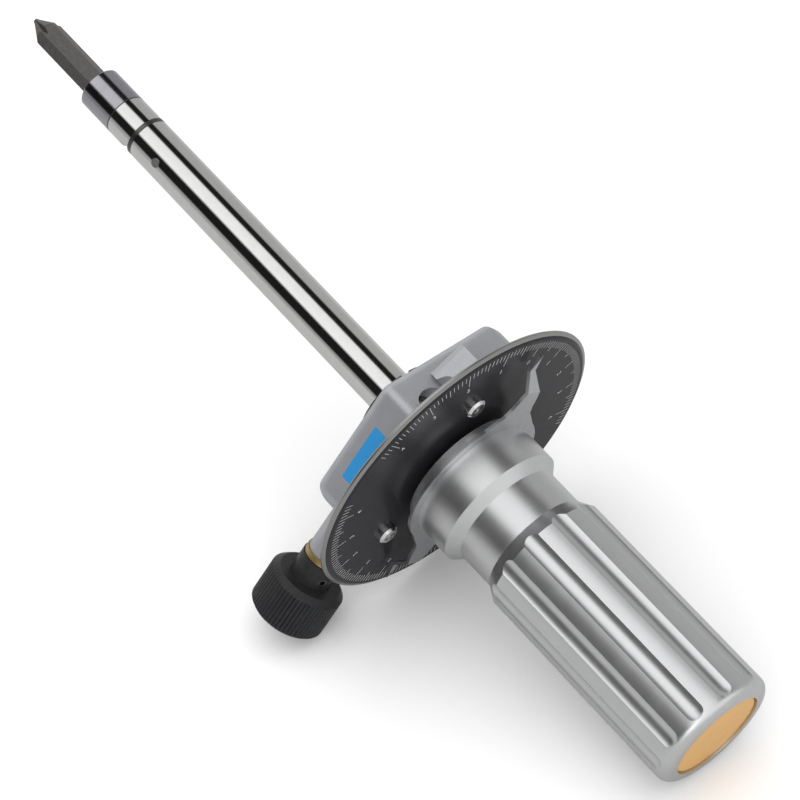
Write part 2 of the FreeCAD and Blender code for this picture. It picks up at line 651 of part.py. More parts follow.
def knob_place(along="0", turn=0.0):
    """The place of a piece whose z axis is the knob's spindle, at a distance along that spindle."""
    axis = Rotation(Vector(0, 1, 0), Vector(0, 0, 1), Vector(1, 0, 0), "XYZ")
    base = Vector(amount(along), -amount("worm_distance"), -amount("worm_reach"))
    return Placement(base, axis * Rotation(Vector(0, 0, 1), turn))


def make_worm():
    """The worm with its two journals, in one piece with the knob's spindle."""
    body = make_body("worm_shaft")
    core = "worm_radius - 1.25*tooth_module"
    revolve(body, [("0", "-spindle_tail"), ("spindle_radius", "-spindle_tail"),
                   ("spindle_radius", "-worm_half_length"), (core, "-worm_half_length"),
                   (core, "worm_half_length"), ("spindle_radius", "worm_half_length"),
                   ("spindle_radius", "spindle_end"), ("0", "spindle_end")])
    lead = "3.141593*tooth_module"
    start = "-6.283185*tooth_module"
    root = core + " - 0.2*tooth_module"
    tip = "worm_radius + tooth_module"
    root_half = "1.2*tooth_module - tooth_play"
    tip_half = "0.4214*tooth_module - tooth_play"
    thread = sketch_on(body, "XZ_Plane")
    polygon(thread, [(root, start + " - " + root_half.replace("-", "+")),
                     (tip, start + " - " + tip_half.replace("-", "+")),
                     (tip, start + " + " + tip_half),
                     (root, start + " + " + root_half)])
    helix = body.newObject("PartDesign::AdditiveHelix", "thread")
    helix.Profile = thread
    helix.ReferenceAxis = (thread, ["V_Axis"])
    helix.Mode = 0
    helix.setExpression("Pitch", bound(lead))
    helix.setExpression("Height", bound("12.566371*tooth_module"))
    doc.recompute()
    keep(body, "worm_shaft", knob_place())


# ---------------------------------------------------------------- casting and dial

def beyond(sketch, distance, start, end):
    """An outline of everything further along -y than a distance, between two places along x."""
    far = f"-{distance} - housing_radius"
    return polygon(sketch, [(start, "-" + distance), (end, "-" + distance), (end, far), (start, far)])


def front_or_corner(edge):
    """A test for the casting's front edges and the upright corners of its label flat."""
    box = edge.BoundBox
    middle = edge.valueAt((edge.FirstParameter + edge.LastParameter) / 2)
    corner = abs(middle.y + amount("flat_distance")) < 1e-3 and box.ZLength > amount("front_wall")
    return corner or at_height("-housing_front_reach")(edge)


def make_casting():
    """The cast body: a drum with flats, a pad, a gear room, a worm bore and the knob's tube."""
    body = make_body("housing_casting")
    above = "-housing_rear_reach + 1"
    depth = "housing_front_reach + 2"
    drum = circle(sketch_on(body, "XY_Plane", "-housing_front_reach"), "0", "0", "housing_radius")
    push(body, drum, "housing_front_reach - housing_rear_reach", "Pad", "drum")
    for turn, name in ((0.0, "label_flat"), (SHOULDER_FACING + 90, "shoulder_flat")):
        outline = beyond(sketch_on(body, "XY_Plane", above, turn), "flat_distance",
                         "-2*housing_radius", "2*housing_radius")
        last = push(body, outline, depth, name=name)
    smooth(body, last, front_or_corner, "housing_round", name="outer_round")

    pad = sketch_on(body, "XY_Plane", "-pad_reach", PAD_FACING + 90)
    polygon(pad, [("-pad_side", "-flat_distance"), ("-pad_side", "-0.5*flat_distance"),
                  ("-2*pad_side", "-0.5*flat_distance"), ("-2*pad_side", "-flat_distance")])
    block = push(body, pad, "pad_reach - housing_rear_reach", "Pad", "machined_pad")
    facing = polar(1.0, PAD_FACING)

    def pad_front(edge):
        middle = edge.valueAt((edge.FirstParameter + edge.LastParameter) / 2)
        outside = abs(middle.dot(facing) - amount("flat_distance")) < 1e-3
        return outside and at_height("-pad_reach")(edge)
    smooth(body, block, pad_front, "pad_bevel", "Chamfer", "pad_bevel")
    add_knob_tube(body)
    add_gear_room(body)
    holes = sketch_on(body, "XY_Plane", above)
    for angle in SCREW_ANGLES:
        screw_hole(holes, angle)
    push(body, holes, "screw_length", name="screw_holes")
    keep(body, "housing_casting")


def screw_hole(sketch, angle):
    """One hole of the dial's screw circle."""
    spot = polar(1.0, angle)
    circle(sketch, f"{spot.x:.6f}*screw_circle" if abs(spot.x) > 1e-6 else "0",
           f"{spot.y:.6f}*screw_circle" if abs(spot.y) > 1e-6 else "0", "screw_radius + seat_gap")


def add_knob_tube(body):
    """The tube that carries the knob, the front boss and the lug under one dial screw."""
    tube = circle(sketch_on(body, "YZ_Plane"), "-worm_distance", "-worm_reach", "boss_radius")
    push(body, tube, "boss_end", "Pad", "knob_tube")
    boss = circle(sketch_on(body, "XY_Plane", "-nose_reach"), "0", "0", "nose_radius")
    push(body, boss, "nose_reach - cavity_reach - seat_gap", "Pad", "front_boss")
    lug = sketch_on(body, "XY_Plane", "-housing_rear_reach - lug_length")
    spot = polar(1.0, SHOULDER_FACING)
    circle(lug, f"{spot.x:.6f}*screw_circle", f"{spot.y:.6f}*screw_circle", "lug_radius")
    push(body, lug, "lug_length", "Pad", "screw_lug")


def add_gear_room(body):
    """The room of the wheel, the bore of the front bush and the stepped bore of the worm."""
    bore(body, "-housing_rear_reach + 1", "cavity_reach - housing_rear_reach + 1", "cavity_radius",
         "gear_room")
    bore(body, "-housing_rear_reach + 1", "nose_reach + 2", "bush_radius + seat_gap", "bush_bore")
    tunnel = sketch_on(body, "YZ_Plane", "boss_end + 1")
    circle(tunnel, "-worm_distance", "-worm_reach", "worm_bore")
    push(body, tunnel, "boss_end + 1 + worm_bore_tail", name="worm_bore")
    window = sketch_on(body, "YZ_Plane", "-worm_bore_tail + 1")
    circle(window, "-worm_distance", "-worm_reach", "window_radius")
    push(body, window, "housing_radius", name="open_end")


def make_bushes():
    """The front bush, its ring nut and the two bushes of the worm shaft."""
    bush_inner = "journal_radius + run_gap"
    bush_front = "-journal_reach + face_gap"
    turned("front_bush", [(bush_inner, bush_front), ("bush_radius", bush_front),
                          ("bush_radius", "-cavity_reach - seat_gap"),
                          (bush_inner, "-cavity_reach - seat_gap")])
    ring = make_body("front_ring")
    ring_rear = "-housing_front_reach - seat_gap"
    revolve(ring, [("nose_radius + run_gap", "-front_ring_reach"),
                   ("front_ring_radius", "-front_ring_reach"), ("front_ring_radius", ring_rear),
                   ("nose_radius + run_gap", ring_rear)])
    slot = sketch_on(ring, "XY_Plane", "-front_ring_reach + front_ring_slot_depth", SHOULDER_FACING)
    polygon(slot, [("nose_radius", "-0.5*front_ring_slot"),
                   ("2*front_ring_radius", "-0.5*front_ring_slot"),
                   ("2*front_ring_radius", "0.5*front_ring_slot"),
                   ("nose_radius", "0.5*front_ring_slot")])
    cut = push(ring, slot, "2*front_ring_slot_depth", name="wrench_slot")
    slots = repeat(ring, [cut], "4", "wrench_slots")
    slots.Occurrences = 4
    keep(ring, "front_ring")
    inner = "spindle_radius + run_gap"
    outer = "worm_bore - seat_gap"
    flange = "boss_end + run_gap"
    turned("brass_bush", [(inner, "boss_end - brass_length"), (outer, "boss_end - brass_length"),
                          (outer, flange), ("brass_radius", flange),
                          ("brass_radius", flange + " + brass_flange"),
                          (inner, flange + " + brass_flange")], knob_place())
    turned("worm_end_bush", [(inner, "-worm_bore_tail + run_gap"),
                             (outer, "-worm_bore_tail + run_gap"),
                             (outer, "-worm_half_length - face_gap"),
                             (inner, "-worm_half_length - face_gap")], knob_place())


def make_dial():
    """The round dial plate and its three screws."""
    body = make_body("dial_plate")
    under = "-housing_rear_reach + seat_gap"
    edge = "dial_rise - dial_edge_drop"
    revolve(body, [("dial_bore", under), ("dial_radius - dial_under_bevel", under),
                   ("dial_radius", under + " + dial_under_bevel"), ("dial_radius", edge),
                   ("dial_face_radius", "dial_rise"), ("dial_bore", "dial_rise")])
    holes = sketch_on(body, "XY_Plane", "dial_rise + 1")
    for angle in SCREW_ANGLES:
        screw_hole(holes, angle)
    push(body, holes, "housing_rear_reach + dial_rise + 2", name="screw_holes")
    keep(body, "dial_plate")
    for number, angle in enumerate(SCREW_ANGLES, start=1):
        place = Placement(polar(SIZE["screw_circle"], angle), Rotation())
        pan_screw(f"dial_screw_{number}", place)


def pan_screw(label, place):
    """A pan-head screw with a cross recess, its head seated on the dial's face."""
    body = make_body(label)
    seat = "dial_rise + seat_gap"
    top = seat + " + screw_head_height"
    head = revolve(body, [("0", seat + " - screw_length"), ("screw_radius", seat + " - screw_length"),
                          ("screw_radius", seat), ("screw_head_radius", seat),
                          ("screw_head_radius", top), ("0", top)])
    smooth(body, head, at_height(top, "screw_radius"), "screw_head_round", "Chamfer", "head_bevel")
    for turn in (45.0, 135.0):
        recess = sketch_on(body, "XY_Plane", top, turn)
        polygon(recess, [("-0.5*recess_length", "-0.5*recess_width"),
                         ("0.5*recess_length", "-0.5*recess_width"),
                         ("0.5*recess_length", "0.5*recess_width"),
                         ("-0.5*recess_length", "0.5*recess_width")])
        push(body, recess, "recess_depth", name="recess")
    keep(body, label, place)


# ---------------------------------------------------------------- knob

def make_knob():
    """The knurled knob on the spindle and its set screw."""
    body = make_body("knob")
    hub = "collar_start"
    inner = "spindle_radius + seat_gap"
    revolve(body, [("0", "spindle_end + run_gap"), (inner, "spindle_end + run_gap"), (inner, hub),
                   ("collar_radius", hub), ("collar_radius", "knob_start"),
                   ("knob_radius - knob_chamfer", "knob_start"),
                   ("knob_radius", "knob_start + knob_chamfer"),
                   ("knob_radius", "knob_end - knob_end_chamfer"),
                   ("knob_radius - knob_end_chamfer", "knob_end"), ("0", "knob_end")])
    rib = sketch_on(body, "XY_Plane", "knob_end - knob_end_chamfer + 0.5*knurl_depth")
    polygon(rib, [("knob_radius - knurl_depth", "0"), ("knob_radius + 0.1", "-knurl_half_width"),
                  ("knob_radius + 0.1", "knurl_half_width")])
    cut = push(body, rib, "knob_end - knob_end_chamfer - knob_start - knob_chamfer + knurl_depth",
               name="knurl_groove")
    repeat(body, [cut], "knurl_count", "knurl")
    hole = circle(sketch_on(body, "XZ_Plane", turn=GRUB_FACING - 90), "0", "grub_place",
                  "grub_radius + seat_gap")
    push(body, hole, "2*collar_radius", name="grub_hole")
    keep(body, "knob", knob_place())
    grub = make_body("knob_set_screw")
    foot = "spindle_radius + seat_gap"
    push(grub, circle(sketch_on(grub, "XY_Plane", foot), "0", "0", "grub_radius"), "grub_length",
         "Pad", "thread")
    socket = hexagon(sketch_on(grub, "XY_Plane", foot + " + grub_length"), "grub_socket")
    push(grub, socket, "grub_socket_depth", name="hexagon_socket")
    outward = Rotation(Vector(0, 0, 1), GRUB_FACING) * Rotation(Vector(0, 1, 0), 90)
    place = knob_place("grub_place")
    keep(grub, "knob_set_screw", Placement(place.Base, place.Rotation * outward))


# ---------------------------------------------------------------- pointer and handle

def make_pointer():
    """The bent sheet pointer and the ring under it."""
    body = make_body("pointer_plate")
    disc = sketch_on(body, "XY_Plane", "pointer_start")
    circle(disc, "0", "0", "pointer_hub_radius")
    circle(disc, "0", "0", "spigot_radius + seat_gap")
    push(body, disc, "pointer_sheet", "Pad", "hub")
    side = sketch_on(body, "XZ_Plane")
    top = "pointer_start + pointer_sheet"
    polygon(side, [("hub_ring_radius", "pointer_start"), ("pointer_bend", "pointer_start"),
                   ("pointer_foot", "pointer_low"), ("pointer_tip", "pointer_low"),
                   ("pointer_tip", "pointer_low + pointer_sheet"),
                   ("pointer_foot + 0.3*pointer_sheet", "pointer_low + pointer_sheet"),
                   ("pointer_bend + 0.3*pointer_sheet", top), ("hub_ring_radius", top)])
    arm = push(body, side, "pointer_hub_radius", "Pad", "arm", True)
    trim = sketch_on(body, "XY_Plane", top + " + 1")
    for sign in ("", "-"):
        polygon(trim, [("pointer_tip + 1", sign + "pointer_hub_radius"),
                       ("pointer_tip + 1", sign + "0.1*pointer_sheet"),
                       ("pointer_tip - 0.5", sign + "0.1*pointer_sheet"),
                       ("pointer_foot", sign + "0.058*pointer_hub_radius"),
                       ("pointer_bend", sign + "0.13*pointer_hub_radius"),
                       ("pointer_bend - 2", sign + "0.17*pointer_hub_radius"),
                       ("1.17*pointer_hub_radius", sign + "0.21*pointer_hub_radius"),
                       ("1.07*pointer_hub_radius", sign + "0.26*pointer_hub_radius"),
                       ("pointer_hub_radius", sign + "0.35*pointer_hub_radius"),
                       ("0.87*pointer_hub_radius", sign + "0.5*pointer_hub_radius"),
                       ("0.87*pointer_hub_radius", sign + "pointer_hub_radius")])
    cut = push(body, trim, "pointer_start + 2", name="arm_outline")
    copies = repeat(body, [arm, cut], "2", "arms")
    copies.Occurrences = 2
    keep(body, "pointer_plate")
    ring = make_body("pointer_hub")
    ring_top = "pointer_start - seat_gap"
    revolve(ring, [("spigot_radius + seat_gap", "hub_ring_start"), ("hub_ring_radius", "hub_ring_start"),
                   ("hub_ring_radius", ring_top), ("spigot_radius + seat_gap", ring_top)])
    keep(ring, "pointer_hub")


def make_handle():
    """The turned handle with its fluted grip, and the anchor of the torsion bar inside it."""
    body = make_body("handle")
    top = "pointer_start + pointer_sheet + seat_gap"
    blank = revolve(body, [("handle_bush_radius + seat_gap", "spigot_start"),
                           ("spigot_radius", "spigot_start"), ("spigot_radius", top),
                           ("collar_ring_radius", top), ("collar_ring_radius", "collar_ring_end"),
                           ("neck_radius", "neck_start"), ("neck_radius", "neck_end"),
                           ("grip_radius", "grip_start"), ("grip_radius", "grip_end"),
                           ("disc_radius", "grip_end"), ("disc_radius", "disc_bore_start"),
                           ("anchor_radius", "disc_bore_start"), ("anchor_radius", "anchor_start"),
                           ("handle_bore", "anchor_start"), ("handle_bore", "handle_room_end"),
                           ("handle_bush_radius + seat_gap", "handle_room_end")])
    smooth(body, blank, at_height("grip_end", "disc_radius + 1"), "grip_round", name="end_round")
    flute = sketch_on(body, "XZ_Plane")
    axis = "grip_radius - flute_depth + flute_radius"
    start = "neck_start + 1"
    foot = "grip_radius - flute_depth"
    polygon_with_ball(flute, axis, foot, start, "flute_end")
    cut = spin(body, flute, "Groove", "flute", "Axis0")
    repeat(body, [cut], "flute_count", "flutes")
    keep(body, "handle")
    turned("handle_bush", [("journal_radius + run_gap", "handle_bush_start"),
                           ("handle_bush_radius", "handle_bush_start"),
                           ("handle_bush_radius", "handle_bush_end"),
                           ("journal_radius + run_gap", "handle_bush_end")])
    anchor = make_body("torsion_anchor")
    inner = "bar_head_radius + seat_gap"
    outer = "anchor_radius - run_gap"
    front = "anchor_start + face_gap"
    rear = "anchor_end"
    revolve(anchor, [(inner, front), (outer, front), (outer, rear), (inner, rear)])
    middle = "anchor_start + 0.5*anchor_length"
    hole = circle(sketch_on(anchor, "XZ_Plane"), "0", middle, "anchor_screw_radius + seat_gap")
    push(anchor, hole, "2*anchor_radius", name="screw_hole")
    keep(anchor, "torsion_anchor")
    screw = make_body("anchor_screw")
    thread = circle(sketch_on(screw, "XZ_Plane", "-anchor_radius + face_gap"), "0", middle,
                    "anchor_screw_radius")
    push(screw, thread, "anchor_radius - bar_head_radius - 2*face_gap", "Pad", "thread")
    keep(screw, "anchor_screw")
    nut = make_body("anchor_nut")
    loose = "bar_head_radius + run_gap"
    tight = "anchor_radius - seat_gap"
    revolve(nut, [(loose, rear + " + face_gap"), (tight, rear + " + face_gap"),
                  (tight, rear + " + nut_length"), (loose, rear + " + nut_length")])
    slot = sketch_on(nut, "XY_Plane", rear + " + nut_length")
    polygon(slot, [("-2*anchor_radius", "-0.5*nut_slot"), ("2*anchor_radius", "-0.5*nut_slot"),
                   ("2*anchor_radius", "0.5*nut_slot"), ("-2*anchor_radius", "0.5*nut_slot")])
    push(nut, slot, "0.5*nut_length", name="wrench_slot")
    keep(nut, "anchor_nut")
    disc = "disc_radius - run_gap"
    floor = "disc_bore_start + seat_gap"
    face = floor + " + disc_thickness"
    turned("end_disc", [("0", floor), (disc, floor), (disc, face + " - disc_crown"),
                        ("disc_radius - disc_crown", face), ("0", face)])


def polygon_with_ball(sketch, axis, foot, start, stop):
    """Half the outline of a round-ended cutter beside its own axis, which lies along z."""
    low = Vector(amount(axis), amount(start), 0)
    centre = Vector(amount(axis), amount(stop), 0)
    radius = amount(axis) - amount(foot)
    sketch.addGeometry(Part.LineSegment(low, centre), True)
    far = Vector(centre.x, centre.y + radius, 0)
    near = Vector(amount(foot), centre.y, 0)
    corner = Vector(amount(foot), low.y, 0)
    sketch.addGeometry(Part.LineSegment(far, low), False)
    sketch.addGeometry(Part.LineSegment(low, corner), False)
    sketch.addGeometry(Part.LineSegment(corner, near), False)
    arc = Part.ArcOfCircle(Part.Circle(centre, Vector(0, 0, 1), radius), math.pi / 2, math.pi)
    sketch.addGeometry(arc, False)
    for edge, point, other, other_point in ((0, 1, 1, 2), (1, 2, 2, 1), (2, 2, 3, 1), (4, 1, 1, 1),
                                            (4, 3, 0, 2)):
        sketch.addConstraint(Sketcher.Constraint("Coincident", edge, point, other, other_point))
    tie(sketch, 0, 1, axis, start)
    tie(sketch, 0, 2, axis, stop)
    tie(sketch, 2, 2, foot, start)
    sketch.addConstraint(Sketcher.Constraint("Vertical", 1))
    sketch.addConstraint(Sketcher.Constraint("Vertical", 3))
    sketch.addConstraint(Sketcher.Constraint("Tangent", 3, 2, 4, 2))


# ---------------------------------------------------------------- rest on the ground

def rest_placement():
    """The turn and shift that lay the tool on its dial rim, grip end and knob, bit tip at the origin."""
    rim = SIZE["dial_radius"]
    rim_height = amount("dial_rise - dial_edge_drop")
    grip = amount("grip_radius - grip_round")
    grip_height = amount("grip_end - grip_round")
    steps = 60

    def solve(low, high, excess):
        for _ in range(steps):
            middle = (low + high) / 2
            if excess(middle) > 0:
                high = middle
            else:
                low = middle
        return (low + high) / 2

    def rim_depth(tilt):
        return rim * math.cos(tilt) + rim_height * math.sin(tilt)

    def grip_above_rim(tilt):
        grip_depth = grip * math.cos(tilt) + grip_height * math.sin(tilt) + SIZE["grip_round"]
        return grip_depth - rim_depth(tilt)
    tilt = solve(0.0, math.radians(40), grip_above_rim)

    def down_at(roll):
        return Vector(math.cos(tilt) * math.cos(roll), math.cos(tilt) * math.sin(roll), math.sin(tilt))

    def rim_below_knob(roll):
        down = down_at(roll)
        across = math.sqrt(1 - down.x ** 2)
        depths = []
        for radius, along in (("knob_radius", "knob_end - knob_end_chamfer"),
                              ("knob_radius - knob_end_chamfer", "knob_end"),
                              ("knob_radius", "knob_start + knob_chamfer")):
            depths.append(amount(along) * down.x + amount(radius) * across)
        lift = amount("worm_distance") * down.y + amount("worm_reach") * down.z
        return rim_depth(tilt) - max(depths) + lift
    down = down_at(solve(0.0, math.radians(70), rim_below_knob))
    up = -down
    forward = Vector(0, 0, -1) - up * up.dot(Vector(0, 0, -1))
    forward.normalize()
    side = up.cross(forward)
    rotation = Rotation(forward, side, up, "ZXY").inverted()
    tip = rotation.multVec(Vector(0, 0, -amount("bit_reach")))
    return Placement(-tip, rotation)


make_front_end()
make_shaft()
make_wheel()
make_worm()
make_casting()
make_bushes()
make_dial()
make_knob()
make_pointer()
make_handle()
doc.recompute()

rest = rest_placement()
for piece, place in parts:
    piece.Placement = rest * place
doc.recompute()

faulty = [item.Label for item in doc.Objects if "Invalid" in item.State or "Error" in item.State]
for piece, place in parts:
    shape = piece.Shape
    if shape.isNull() or not shape.isValid() or len(shape.Solids) != 1:
        faulty.append(piece.Label)
if faulty:
    raise RuntimeError("faulty: " + ", ".join(faulty))

os.makedirs("parts", exist_ok=True)
for piece, place in parts:
    piece.Shape.exportStep(f"parts/{piece.Label}.step")
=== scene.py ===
"""Dial torque screwdriver: finishes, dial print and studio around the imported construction."""

import json
import logging
import math
from dataclasses import dataclass, field
from enum import Enum
from typing import Any, Callable, Optional, Sequence, Union

import bmesh
import bpy
from mathutils import Matrix, Vector

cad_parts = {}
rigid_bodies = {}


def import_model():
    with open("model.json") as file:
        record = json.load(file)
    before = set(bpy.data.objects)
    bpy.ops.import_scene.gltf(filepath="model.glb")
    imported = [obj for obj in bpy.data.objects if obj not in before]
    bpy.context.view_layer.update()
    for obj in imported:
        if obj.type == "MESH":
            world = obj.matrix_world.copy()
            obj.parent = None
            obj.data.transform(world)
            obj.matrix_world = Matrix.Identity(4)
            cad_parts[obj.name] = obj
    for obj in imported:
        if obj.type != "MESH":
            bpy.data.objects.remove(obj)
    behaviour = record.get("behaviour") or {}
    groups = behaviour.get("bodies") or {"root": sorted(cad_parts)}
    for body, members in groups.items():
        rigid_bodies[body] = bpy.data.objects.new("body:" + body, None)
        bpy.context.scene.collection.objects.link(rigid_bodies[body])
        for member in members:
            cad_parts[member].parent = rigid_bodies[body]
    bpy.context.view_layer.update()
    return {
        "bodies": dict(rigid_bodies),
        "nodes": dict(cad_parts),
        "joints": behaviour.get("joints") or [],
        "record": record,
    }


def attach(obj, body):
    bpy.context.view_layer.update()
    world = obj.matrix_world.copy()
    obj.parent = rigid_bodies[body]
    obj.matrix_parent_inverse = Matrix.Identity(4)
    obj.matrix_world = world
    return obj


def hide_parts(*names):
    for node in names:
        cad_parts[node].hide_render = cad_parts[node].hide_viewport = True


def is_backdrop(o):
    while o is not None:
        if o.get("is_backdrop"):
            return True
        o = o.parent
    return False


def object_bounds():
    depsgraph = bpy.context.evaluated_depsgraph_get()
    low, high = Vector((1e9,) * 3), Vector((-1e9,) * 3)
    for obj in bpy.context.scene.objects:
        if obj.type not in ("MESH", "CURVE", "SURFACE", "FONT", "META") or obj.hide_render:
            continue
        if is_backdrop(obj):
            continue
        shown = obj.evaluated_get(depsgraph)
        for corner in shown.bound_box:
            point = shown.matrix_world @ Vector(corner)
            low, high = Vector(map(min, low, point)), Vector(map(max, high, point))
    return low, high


LOG = logging.getLogger("torque_screwdriver")
MM = 0.001
BIT_REACH = 163.0
Colour = tuple[float, float, float]


# ---------------------------------------------------------------- the tool's own axes

class ToolFrame:
    """The tool's axes in the frame: z along the shaft to the grip, x along the knob's spindle."""

    def __init__(self, frame: dict[str, Any], bit_reach: float = BIT_REACH) -> None:
        """Reads the axes from the joints.

        Args:
            frame: The loaded frame.
            bit_reach: Distance from the dial plane to the bit's tip, in millimetres.
        """
        joints = {joint["name"]: joint for joint in frame["joints"]}
        back = Vector(joints["torque_twist"]["axis"]).normalized()
        knob = Vector(joints["knob_turn"]["axis"]).normalized()
        side = back.cross(knob).normalized()
        turn = Matrix((knob, side, back)).transposed()
        tip = Vector(joints["torque_twist"]["pos_m"])
        self.matrix = Matrix.Translation(tip + back * bit_reach * MM) @ turn.to_4x4()

    def point(self, x: float, y: float, z: float) -> Vector:
        """The place in the frame of a point of the tool, given in millimetres."""
        return self.matrix @ (Vector((x, y, z)) * MM)

    def direction(self, x: float, y: float, z: float) -> Vector:
        """The direction in the frame of a direction of the tool."""
        return self.matrix.to_3x3() @ Vector((x, y, z))

    def place(self, piece: bpy.types.Object) -> None:
        """Moves a mesh made in tool millimetres to its place in the frame."""
        piece.data.transform(self.matrix @ Matrix.Scale(MM, 4))


# ---------------------------------------------------------------- shader maths

Value = Union["Maths", float]


class Maths:
    """A shader socket that can be used in expressions."""

    def __init__(self, shader: "Shader", socket: bpy.types.NodeSocket) -> None:
        """Wraps an output socket of a shader's node tree."""
        self.shader = shader
        self.socket = socket

    def _with(self, operation: str, *others: Value) -> "Maths":
        """Adds a Math node for this socket and the other values."""
        return self.shader.maths(operation, self, *others)

    def __add__(self, other: Value) -> "Maths":
        """This value plus another."""
        return self._with("ADD", other)

    def __sub__(self, other: Value) -> "Maths":
        """This value minus another."""
        return self._with("SUBTRACT", other)

    def __rsub__(self, other: float) -> "Maths":
        """A number minus this value."""
        return self.shader.maths("SUBTRACT", other, self)

    def __mul__(self, other: Value) -> "Maths":
        """This value times another."""
        return self._with("MULTIPLY", other)

    def __gt__(self, other: Value) -> "Maths":
        """One where this value is greater than another, zero elsewhere."""
        return self._with("GREATER_THAN", other)

    def __lt__(self, other: Value) -> "Maths":
        """One where this value is less than another, zero elsewhere."""
        return self._with("LESS_THAN", other)


class Shader:
    """A material's node tree with a Principled surface, built in a few calls."""

    def __init__(self, name: str, tool: ToolFrame) -> None:
        """Makes the material.

        Args:
            name: The material's name.
            tool: The tool's axes, for patterns in tool millimetres.
        """
        self.material = bpy.data.materials.new(name)
        self.material.use_nodes = True
        self.tree = self.material.node_tree
        self.surface = self.tree.nodes["Principled BSDF"]
        self.tool = tool
        self._place: Optional[Maths] = None

    def node(self, kind: str, settings: Optional[dict[str, Any]] = None,
             **sockets: Any) -> bpy.types.Node:
        """Adds a node.

        Args:
            kind: The node's type without its ShaderNode prefix.
            settings: Properties of the node, set first. "stops" fills a colour ramp.
            sockets: Values or links of input sockets, by name with _ for a space, or by number as in_0.

        Returns:
            The node.
        """
        node = self.tree.nodes.new("ShaderNode" + kind)
        for name, value in (settings or {}).items():
            if name == "stops":
                self._fill(node.color_ramp, value)
            else:
                setattr(node, name, value)
        for name, value in sockets.items():
            key = int(name[3:]) if name.startswith("in_") else name.replace("_", " ")
            self.feed(node.inputs[key], value)
        return node

    @staticmethod
    def _fill(ramp: bpy.types.ColorRamp, stops: Sequence[tuple[float, Colour]]) -> None:
        """Sets a ramp's stops from (position, colour) pairs."""
        while len(ramp.elements) < len(stops):
            ramp.elements.new(0.5)
        for element, (position, colour) in zip(ramp.elements, stops):
            element.position = position
            element.color = (*colour, 1.0)

    def feed(self, socket: bpy.types.NodeSocket, value: Any) -> None:
        """Links a value to a socket, or sets the socket's own value."""
        if isinstance(value, Maths):
            self.tree.links.new(value.socket, socket)
        elif isinstance(value, bpy.types.NodeSocket):
            self.tree.links.new(value, socket)
        elif isinstance(value, tuple) and len(value) == 3 and socket.type == "RGBA":
            socket.default_value = (*value, 1.0)
        else:
            socket.default_value = value

    def maths(self, operation: str, *values: Value) -> Maths:
        """Adds a Math node and returns its result."""
        sockets = {f"in_{i}": value for i, value in enumerate(values)}
        node = self.node("Math", {"operation": operation}, **sockets)
        return Maths(self, node.outputs[0])

    def place(self) -> Maths:
        """The point's place on the tool, in millimetres along the tool's own axes."""
        if self._place is None:
            where = self.node("TexCoord").outputs["Object"]
            matrix = self.tool.matrix
            mapping = self.node("Mapping", {"vector_type": "TEXTURE"}, Vector=where,
                                Location=matrix.to_translation(), Rotation=matrix.to_euler(),
                                Scale=(MM, MM, MM))
            self._place = Maths(self, mapping.outputs[0])
        return self._place

    def axes(self) -> tuple[Maths, Maths, Maths]:
        """The three parts of the point's place on the tool."""
        parts = self.node("SeparateXYZ", in_0=self.place()).outputs
        return Maths(self, parts[0]), Maths(self, parts[1]), Maths(self, parts[2])

    def radius(self) -> Maths:
        """The point's distance from the tool's axis, in millimetres."""
        x, y, _ = self.axes()
        return self.maths("SQRT", x * x + y * y)

    def noise(self, scale: float, detail: float = 2.0,
              stretch: tuple[float, float, float] = (1.0, 1.0, 1.0)) -> Maths:
        """Noise over the tool.

        Args:
            scale: Grains a millimetre.
            detail: Octaves.
            stretch: Factors on the tool's axes.

        Returns:
            A value round a half.
        """
        vector = self.node("Mapping", Vector=self.place(), Scale=stretch).outputs[0]
        node = self.node("TexNoise", Vector=vector, Scale=scale, Detail=detail)
        return Maths(self, node.outputs["Fac"])

    def rings(self, scale: float, detail: float = 3.0) -> Maths:
        """Noise that changes only with height and radius, as turning marks do."""
        _, _, height = self.axes()
        where = self.node("CombineXYZ", in_0=self.radius(), in_2=height).outputs[0]
        node = self.node("TexNoise", Vector=where, Scale=scale, Detail=detail)
        return Maths(self, node.outputs["Fac"])

    def mix(self, factor: Value, low: Any, high: Any) -> bpy.types.NodeSocket:
        """A colour between two colours."""
        node = self.node("Mix", {"data_type": "RGBA"}, in_0=factor, in_6=low, in_7=high)
        return node.outputs[2]

    def ramp(self, value: Value, stops: Sequence[tuple[float, Colour]]) -> bpy.types.NodeSocket:
        """A colour looked up on a ramp."""
        return self.node("ValToRGB", {"stops": stops}, Fac=value).outputs[0]

    def bump(self, height: Maths, strength: float, depth: float) -> None:
        """Feeds the surface's normal from a height pattern.

        Args:
            height: The pattern.
            strength: How much of it shows.
            depth: Its depth in millimetres.
        """
        node = self.node("Bump", Height=height, Strength=strength, Distance=depth * MM)
        self.feed(self.surface.inputs["Normal"], node.outputs[0])

    def set(self, **sockets: Any) -> None:
        """Sets inputs of the surface, by name with _ for a space."""
        for name, value in sockets.items():
            self.feed(self.surface.inputs[name.replace("_", " ")], value)


# ---------------------------------------------------------------- finishes

@dataclass(frozen=True)
class Chrome:
    """Mirror chrome on ground steel."""

    colour: Colour = (0.78, 0.78, 0.77)
    shade: Colour = (0.68, 0.68, 0.67)
    roughness: float = 0.05

    def dress(self, shader: Shader) -> None:
        """Builds the finish."""
        cloud = shader.noise(0.35, 3.0)
        pits = shader.noise(3.2, 3.0)
        shader.set(Base_Color=shader.mix(cloud, self.shade, self.colour), Metallic=1.0,
                   Roughness=pits * 0.06 + self.roughness - 0.03)
        shader.bump(pits, 0.22, 0.012)


